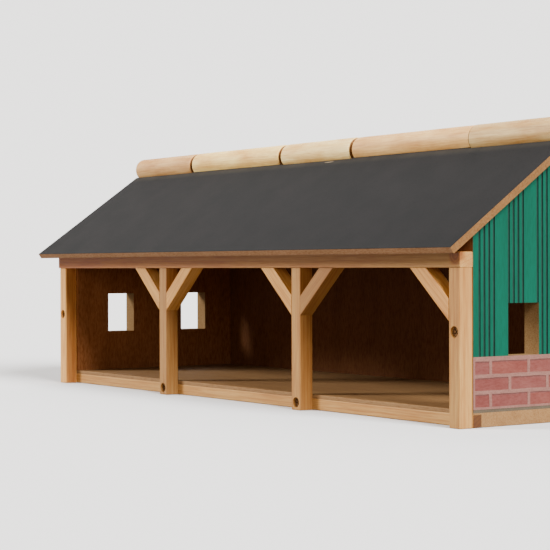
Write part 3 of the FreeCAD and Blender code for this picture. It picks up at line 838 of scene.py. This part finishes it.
def makeGables():
    window = {"near": -30.4, "far": -14.9, "sill": shed["brickTop"], "top": 46.5}
    for side, sign in sideways.items():
        node = f"{side}_gable_wall"
        low, high = nodeBox(node)
        piece = addBlock(f"{side}Gable", low, (high.x, high.y, shed["ridge"]))
        first = shed["front"] + cladding["firstGroup"]
        groups = [first + number * cladding["groupPitch"] for number in range(cladding["gableGroups"])]
        joint = shed["front"] + cladding["firstJoint"]
        cladWall(piece, (sign, 0, 0), 1, (low.y, high.y), groups, joint, boardInner)
        editOn(piece)
        trimUnder("front")
        trimUnder("rear")
        editOff()
        left, right = low.x - overrun, high.x + overrun
        cradle = turnStock("cutter", [(left, shed["logEdge"]), (right, shed["logEdge"])], 64)
        cutAway(piece, place(cradle, (0, math.pi / 2, 0), (0, 0, shed["ridge"])))
        for front, back in ((window["near"], window["far"]), (-window["far"], -window["near"])):
            cutAway(piece, addBlock("cutter", (left, front, window["sill"]), (right, back, window["top"])))
        repaint(piece, wallEdge, lambda middle, normal: abs(normal.x) < leaning and (
            low.x + cladding["skin"] < middle.x < high.x - cladding["skin"]
            or normal.z > leaning and middle.z > window["top"]))
        # painted light: the gables' front edges beside the corner posts take the lighter inner board
        repaint(piece, boardInner, lambda middle, normal: normal.y < -facing and middle.y < low.y + touch)
        finishPiece(piece, node, "shed")


def makeRearWall():
    low, high = nodeBox("rear_wall")
    piece = addBlock("rearWall", low, high)
    count = cladding["rearGroups"]
    groups = [(number - count // 2) * cladding["groupPitch"] for number in range(count)]
    cladWall(piece, (0, 1, 0), 0, (low.x, high.x), groups, cladding["brickPitch"] / 2, boardBack)
    editOn(piece)
    trimUnder("rear")
    editOff()
    repaint(piece, wallEdge, lambda middle, normal: normal.z > leaning and middle.z > shed["brickTop"] + touch)
    for sign in sideways.values():
        for height in screwPlaces["rearHeights"]:
            spot = (sign * screwPlaces["gable"], high.y, height)
            cutAway(piece, place(sunkCutter(stock["flushSink"]), (-math.pi / 2, 0, 0), spot))
            repaint(piece, wallEdge, lambda middle, normal: abs(normal.y) < facing and (
                math.hypot(middle.x - spot[0], middle.z - height) < stock["head"] / 2 + touch))
    finishPiece(piece, "rear_wall", "shed")


makeGables()
makeRearWall()
print("walls made")


# Roof halves: fibreboard with a grey film on top

brad = {"head": 1.1, "ease": 0.25, "bevel": 0.12, "headHigh": 0.6, "shank": 0.6, "length": 12.0, "tip": 0.7,
        "point": 0.05, "hole": 6.0, "clear": 0.05}
logHolders = {"left_end_log": "rear", "left_hinge_log": "front", "middle_log": "rear",
              "right_hinge_log": "front", "right_end_log": "rear"}


def makeRoof(side, body):
    roof = {"round": 0.15, "eaveRound": 0.5, "chip": (12.6, 7.7), "chipSize": (7.0, 1.1, 0.5),
            "chipTurn": 0.04, "chipReach": 0.55, "eaveBand": 2.0}
    low, high = nodeBox(f"{side}_roof_panel")
    sign = halves[side]
    tongues = []
    for node, holder in logHolders.items():
        if holder == side:
            logLow, logHigh = nodeBox(node)
            tongues.append((logLow.x, logHigh.x))
    top, bottom = -shed["axisRise"], -shed["axisRise"] - shed["roofThick"]
    edges = sorted((sign * shed["logEdge"], sign * shed["eaveEdge"]))
    piece = addBlock(f"{side}Roof", (low.x, edges[0], bottom), (high.x, edges[1], top))
    editOn(piece)

    def upperEdge(middle, normal):
        return normal.y * sign < -facing

    for edge in [edge for pair in tongues for edge in pair if abs(edge) < high.x - 1]:
        pickFaces(piece, upperEdge)
        sliceAt((edge, 0, 0), (1, 0, 0))
    pickFaces(piece, lambda middle, normal: (
        upperEdge(middle, normal) and any(a < middle.x < b for a, b in tongues)))
    reach = sign * (shed["tongueStop"] - shed["logEdge"])
    bpy.ops.mesh.extrude_region_move(TRANSFORM_OT_translate={"value": (0, reach * mm, 0)})
    pickEdges(piece, lambda middle, way: abs(way.x) > facing and middle.z < bottom + touch and (
        abs(middle.y - sign * shed["eaveEdge"]) < touch))
    roundOff(roof["eaveRound"], 4)
    pickEdges(piece, lambda middle, way: abs(way.z) < leaning and middle.z > top - touch and (
        abs(middle.y - sign * shed["eaveEdge"]) < touch or abs(middle.x) > high.x - touch))
    roundOff(roof["round"], 2)
    editOff()
    if side == "rear":
        head, shank, seat = (brad[key] + brad["clear"] for key in ("head", "shank", "headHigh"))
        rings = [(overrun, head), (-seat, head), (-seat, shank), (-brad["hole"], shank)]
        for run in screwPlaces["bradRuns"]:
            for across in (-screwPlaces["gable"], screwPlaces["gable"]):
                cutAway(piece, place(turnStock("cutter", rings, 24), (0, 0, 0), (across, run, top)))
    else:
        deselect()
        size = [value * mm for value in roof["chipSize"]]
        bpy.ops.mesh.primitive_uv_sphere_add(segments=32, ring_count=16, radius=0.5, scale=size)
        chip = settle("cutter")
        cutAway(piece, place(chip, (0, 0, roof["chipTurn"]), (roof["chip"][0], -roof["chip"][1], top)))

    def choose(middle, normal):
        across, down = middle.x - roof["chip"][0], middle.y + roof["chip"][1]
        if normal.z > leaning:
            inChip = math.hypot(across / roof["chipSize"][0], down / roof["chipSize"][1]) < roof["chipReach"]
            return "torn" if inChip and middle.z < top - touch else "coat"
        # the eave faces take the paler edge: painted light
        if abs(normal.y) > leaning and abs(middle.y) > shed["eaveEdge"] - roof["eaveBand"]:
            return "eave"
        return "back" if normal.z < -facing else "edge"

    paint(piece, {
        "coat": roofCoat, "edge": roofEdge, "eave": eaveEdge, "back": boardBack, "torn": boardTorn,
    }, choose)
    place(piece, (-sign * shed["pitch"], 0, 0), (0, 0, shed["ridge"]))
    finishPiece(piece, f"{side}_roof_panel", body)


makeRoof("front", "front_roof")
makeRoof("rear", "shed")
print("roof made")


# Ridge logs on their rod

def makeLogs():
    log = {"radius": 6.0, "round": 1.4, "step": 3.0, "bore": 1.53, "flatDepth": 5.8, "sawnFacing": 0.8,
           "wobble": 0.16, "wobbleSize": (20, 7, 7),  # unevenness, and its lengths along X, Y and Z
           "butt": 0.25,  # gap and rounding where the right two logs touch
           "slim": 0.12, "grooveReach": 8.0, "grooveClear": 0.05,
           "flats": {"right_end_log": (10, 48)},  # shaved sides, in degrees up from the front
           "tints": {"left_end_log": "#D2B79F", "left_hinge_log": "#FFF4D0", "middle_log": "#FFFBEA",
                     "right_hinge_log": "#E8D0B4", "right_end_log": "#D0C3B3"}}
    for node, side in logHolders.items():
        low, high = nodeBox(node)
        startRound = log["butt"] if node == "right_end_log" else log["round"]
        stopRound = log["butt"] if node == "right_hinge_log" else log["round"]
        full = log["radius"]
        if node == "right_hinge_log":
            full -= log["slim"]
            high.x = nodeBox("right_end_log")[0].x - log["butt"]
        length = high.x - low.x
        turns = [math.radians(angle) for angle in (0, 22.5, 45, 67.5, 90)]
        rings = [(startRound * (1 - math.cos(a)), full - startRound * (1 - math.sin(a))) for a in turns]
        count = int(length / log["step"])
        plain = length - startRound - stopRound
        rings += [(startRound + plain * number / count, full) for number in range(1, count)]
        rings += [(length - stopRound * (1 - math.cos(a)), full - stopRound * (1 - math.sin(a)))
                  for a in turns[::-1]]
        piece = turnStock(node.title().replace("_", ""), rings, 96)
        place(piece, (0, math.pi / 2, 0), (low.x, 0, 0))
        seed = Vector((dice.uniform(0, 99), dice.uniform(0, 99), 0))
        for corner in piece.data.vertices:  # shaved by hand, not machined
            spot = corner.co / mm
            radius = math.hypot(spot.y, spot.z)
            drift = Vector([value / size for value, size in zip(spot, log["wobbleSize"])])
            swell = (noise.noise(drift + seed) - 1) * log["wobble"] / 2
            limits = [radius * (1 + swell / full)]
            for flat in log["flats"].get(node, []):
                turn = math.atan2(spot.z, -spot.y) - math.radians(flat)
                limits.append(log["flatDepth"] / max(math.cos(turn), 0.1))
            share = min(limits) / radius
            corner.co = Vector((spot.x, spot.y * share, spot.z * share)) * mm
        sign = halves[side]
        edges = sorted((sign * (shed["tongueStop"] - log["grooveClear"]), sign * log["grooveReach"]))
        top = log["grooveClear"] - shed["axisRise"]
        bottom = -shed["axisRise"] - shed["roofThick"] - log["grooveClear"]
        left, right = low.x - overrun, high.x + overrun
        groove = addBlock("cutter", (left, edges[0], bottom), (right, edges[1], top))
        place(groove, (-sign * shed["pitch"], 0, 0), (0, 0, 0))
        cutAway(piece, groove)
        bore = turnStock("cutter", [(left, log["bore"]), (right, log["bore"])], 32)
        cutAway(piece, place(bore, (0, math.pi / 2, 0), (0, 0, 0)))
        place(piece, (0, 0, 0), (0, 0, shed["ridge"]))
        setGrain(piece, (1, 0, 0), log["tints"][node])
        # the log ends take painted shade of the gaps between them
        paint(piece, {"lime": lime, "sawn": limeEndShaded}, lambda middle, normal: (
            "sawn" if abs(normal.x) > log["sawnFacing"] else "lime"))
        finishPiece(piece, node, "front_roof" if side == "front" else "shed")


def makeRod():
    low, high = nodeBox("hinge_rod")
    rod = {"radius": 1.5, "ease": 0.3}
    full, ease = rod["radius"], rod["ease"]
    rings = [(low.x, full - ease), (low.x + ease, full), (high.x - ease, full), (high.x, full - ease)]
    piece = place(turnStock("hingeRod", rings, 32), (0, math.pi / 2, 0), (0, 0, shed["ridge"]))
    paint(piece, {"zinc": zinc})
    finishPiece(piece, "hinge_rod", "shed")


makeLogs()
makeRod()
print("ridge logs and rod made")


# Countersunk screws with a cross recess, and flat-headed brads

def makeScrews():
    screw = {"head": 2.15, "ease": 0.1, "shank": 1.1, "core": 0.8, "length": 16, "tip": 1.5, "point": 0.1,
             "threadTop": 3.5, "pitch": 0.9,
             "armWidth": 0.55, "armLength": 2.7, "recess": 0.45, "twist": 0.4}  # cross recess
    cone = screw["head"] - screw["shank"]
    ease = screw["ease"]
    rings = [(0, screw["head"] - ease), (-ease, screw["head"]), (-ease - cone, screw["shank"])]
    height = -screw["threadTop"]
    while height > screw["tip"] - screw["length"]:
        rings += [(height, screw["core"]), (height - screw["pitch"] / 2, screw["shank"])]
        height -= screw["pitch"]
    rings += [(height, screw["core"]), (-screw["length"], screw["point"])]
    model = turnStock("screw", rings, 24)
    for turn in (0, math.pi / 2):
        half = [screw["armLength"] / 2, screw["armWidth"] / 2, screw["recess"]]
        arm = addBlock("cutter", [-value for value in half], half)
        cutAway(model, place(arm, (0, 0, turn + screw["twist"]), (0, 0, 0)))
    posts, heights = screwPlaces["posts"], screwPlaces["postHeights"]
    postFront = shed["front"] + stock["deepSink"]
    beamLow, beamHigh = nodeBox("eave_beam")
    beamMiddle, beamTop = (beamLow.y + beamHigh.y) / 2, beamHigh.z - stock["flushSink"]
    rearFace = nodeBox("rear_wall")[1].y - stock["flushSink"]
    groups = {
        "post_screws": ((math.pi / 2, 0, 0), [
            *((across, postFront, heights["corner"]) for across in posts[::3]),
            *((across, postFront, heights["mid"]) for across in posts[1:3]),
        ]),
        "beam_screws": ((0, 0, 0), [(across, beamMiddle, beamTop) for across in posts]),
        "floor_screws": ((math.pi, 0, 0), [(*spot, stock["flushSink"]) for spot in screwPlaces["floor"]]),
        "rear_screws": ((-math.pi / 2, 0, 0), [
            (sign * screwPlaces["gable"], rearFace, height)
            for sign in sideways.values() for height in screwPlaces["rearHeights"]
        ]),
    }
    for node, (turn, spots) in groups.items():
        copies = []
        for number, spot in enumerate(spots):
            twist = Euler((0, 0, dice.uniform(0, math.pi / 2))).to_matrix()
            heading = (Euler(turn).to_matrix() @ twist).to_euler()
            copies.append(place(copyOf(model, f"{node}{number}"), heading, spot))
        piece = joinAll(copies, node.title().replace("_", ""))
        paint(piece, {"zinc": yellowZincShaded})
        finishPiece(piece, node, "shed", 30)
    bpy.data.objects.remove(model, do_unlink=True)


def makeBrads():
    rings = [(0, brad["head"] - brad["ease"]), (-brad["bevel"], brad["head"]),
             (-brad["headHigh"], brad["head"]), (-brad["headHigh"], brad["shank"]),
             (brad["tip"] - brad["length"], brad["shank"]), (-brad["length"], brad["point"])]
    model = turnStock("brad", rings, 20)
    slope = Matrix.Rotation(-shed["pitch"], 3, "X")
    copies = []
    for run in screwPlaces["bradRuns"]:
        for across in (-screwPlaces["gable"], screwPlaces["gable"]):
            spot = slope @ Vector((across, run, -shed["axisRise"])) + Vector((0, 0, shed["ridge"]))
            copies.append(place(copyOf(model, f"brad{len(copies)}"), (-shed["pitch"], 0, 0), spot))
    piece = joinAll(copies, "roofBrads")
    paint(piece, {"zinc": zinc})
    finishPiece(piece, "roof_brads", "shed", 30)
    bpy.data.objects.remove(model, do_unlink=True)


makeScrews()
makeBrads()
print("screws and brads made")


# Floor, light and camera

studio = {
    "paper": "#ECECEC", "paperSize": 40, "paperDrop": 0.1, "ambient": 0.42, "warmth": "#FFEBD6",
    "lampsAway": 2,  # metres
    "suns": {  # degrees from +X towards the front, degrees up, strength and spread
        "keySun": (2, 32, 9.7, 26),
        "fillSun": (125, 27, 4.9, 18),
        "frontSun": (50, 12, 0.5, 30),
        "backSun": (215, 40, 1.7, 60),
    },
}


def makeStage():
    deselect()
    bpy.ops.mesh.primitive_plane_add(size=studio["paperSize"], location=(0, 0, -studio["paperDrop"] * mm))
    floor = settle("stageFloor")
    material = bpy.data.materials.new("pale paper sheet")
    material.use_nodes = True
    tree = material.node_tree
    tree.nodes.clear()
    sheet = addNode(tree, "BsdfDiffuse", {"Color": linear(studio["paper"])}, {}).outputs[0]
    addNode(tree, "OutputMaterial", {}, {"Surface": sheet})
    floor.data.materials.append(material)
    floor.visible_diffuse = False  # no glow from below, as on a light table with flags


def makeLights():
    sunlit = 0
    for name, (turn, rise, strength, spread) in studio["suns"].items():
        turn, rise = math.radians(turn), math.radians(rise)
        lamp = bpy.data.lights.new(name, "SUN")
        lamp.energy = strength
        lamp.angle = math.radians(spread)
        holder = bpy.data.objects.new(name, lamp)
        bpy.context.scene.collection.objects.link(holder)
        height, level = studio["lampsAway"] * math.sin(rise), studio["lampsAway"] * math.cos(rise)
        holder.location = (level * math.cos(turn), -level * math.sin(turn), height)
        holder.rotation_euler = (-holder.location).to_track_quat("-Z", "Y").to_euler()
        sunlit += strength * math.sin(rise) / math.pi
    ambient = [studio["ambient"] * share for share in linear(studio["warmth"])[:3]]
    paper = linear(studio["paper"])[0]
    backdrop = [paper * (sunlit + share) for share in ambient]  # as bright as the paper, so no horizon shows
    world = bpy.data.worlds.new("studio")
    bpy.context.scene.world = world
    world.use_nodes = True
    tree = world.node_tree
    tree.nodes.clear()
    seen = addNode(tree, "LightPath", {}, {}).outputs["Is Camera Ray"]
    colour = addNode(tree, "Mix", {
        "data_type": "RGBA", 6: (*ambient, 1), 7: (*backdrop, 1),
    }, {0: seen}).outputs[2]
    sky = addNode(tree, "Background", {}, {"Color": colour}).outputs[0]
    addNode(tree, "OutputWorld", {}, {"Surface": sky})


def makeCamera():
    view = {"focal": 1678.31, "yaw": 55.1321, "pitch": 0.2793, "roll": -0.1612,
            "spot": (630.56, -467.12, 60.49), "width": 550, "sensor": 36}
    yaw, pitch, roll = (math.radians(view[key]) for key in ("yaw", "pitch", "roll"))
    level = Matrix(((1, 0, 0), (0, 0, -1), (0, 1, 0)))  # right, down and forward when facing the front
    turn = Matrix.Rotation(roll, 3, "Z") @ Matrix.Rotation(pitch, 3, "X") @ Matrix.Rotation(yaw, 3, "Y")
    right, down, forward = turn @ level
    camera = bpy.data.cameras.new("photoCamera")
    camera.sensor_width = view["sensor"]
    camera.lens = view["sensor"] * view["focal"] / view["width"]
    holder = bpy.data.objects.new("photoCamera", camera)
    bpy.context.scene.collection.objects.link(holder)
    axes = Matrix((right, -down, -forward)).transposed().to_4x4()
    holder.matrix_world = Matrix.Translation(Vector(view["spot"]) * mm) @ axes
    bpy.context.scene.camera = holder


makeStage()
makeLights()
makeCamera()
print("stage, lights and camera made")
